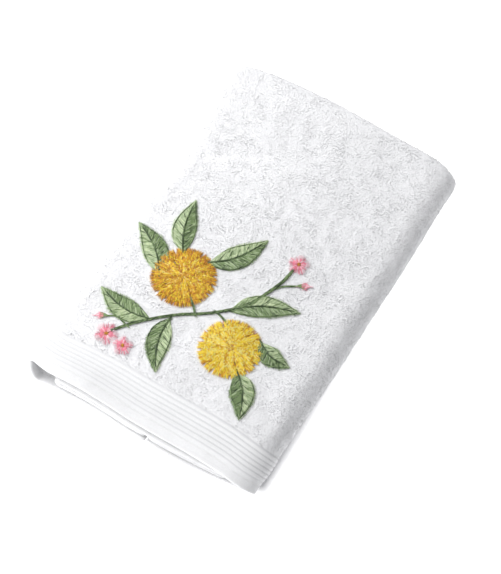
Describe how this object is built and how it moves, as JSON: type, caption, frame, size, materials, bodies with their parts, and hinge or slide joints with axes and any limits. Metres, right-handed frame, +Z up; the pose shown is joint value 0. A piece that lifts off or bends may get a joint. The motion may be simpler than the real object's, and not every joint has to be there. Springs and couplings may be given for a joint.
{
  "type": "folded hand towel",
  "caption": "White terry hand towel folded in half with both sides turned under, with a ribbed woven band and an embroidered flower sprig.",
  "frame": {"origin": "middle of the footprint, on the surface that the folded towel rests on", "axes": "+X across the folded width to the right, +Y along the folded length from the hemmed ends to the fold, +Z up"},
  "size_m": [0.217, 0.3238, 0.0285],
  "materials": {
    "terry_white": "looped cotton pile with a flat ribbed woven band",
    "thread_white": "matt sewing thread",
    "thread_yellow": "glossy embroidery thread",
    "thread_gold": "glossy embroidery thread",
    "thread_green": "glossy embroidery thread",
    "thread_pink": "glossy embroidery thread"
  },
  "bodies": {
    "root": {"towel": "terry_white"}
  },
  "joints": []
}
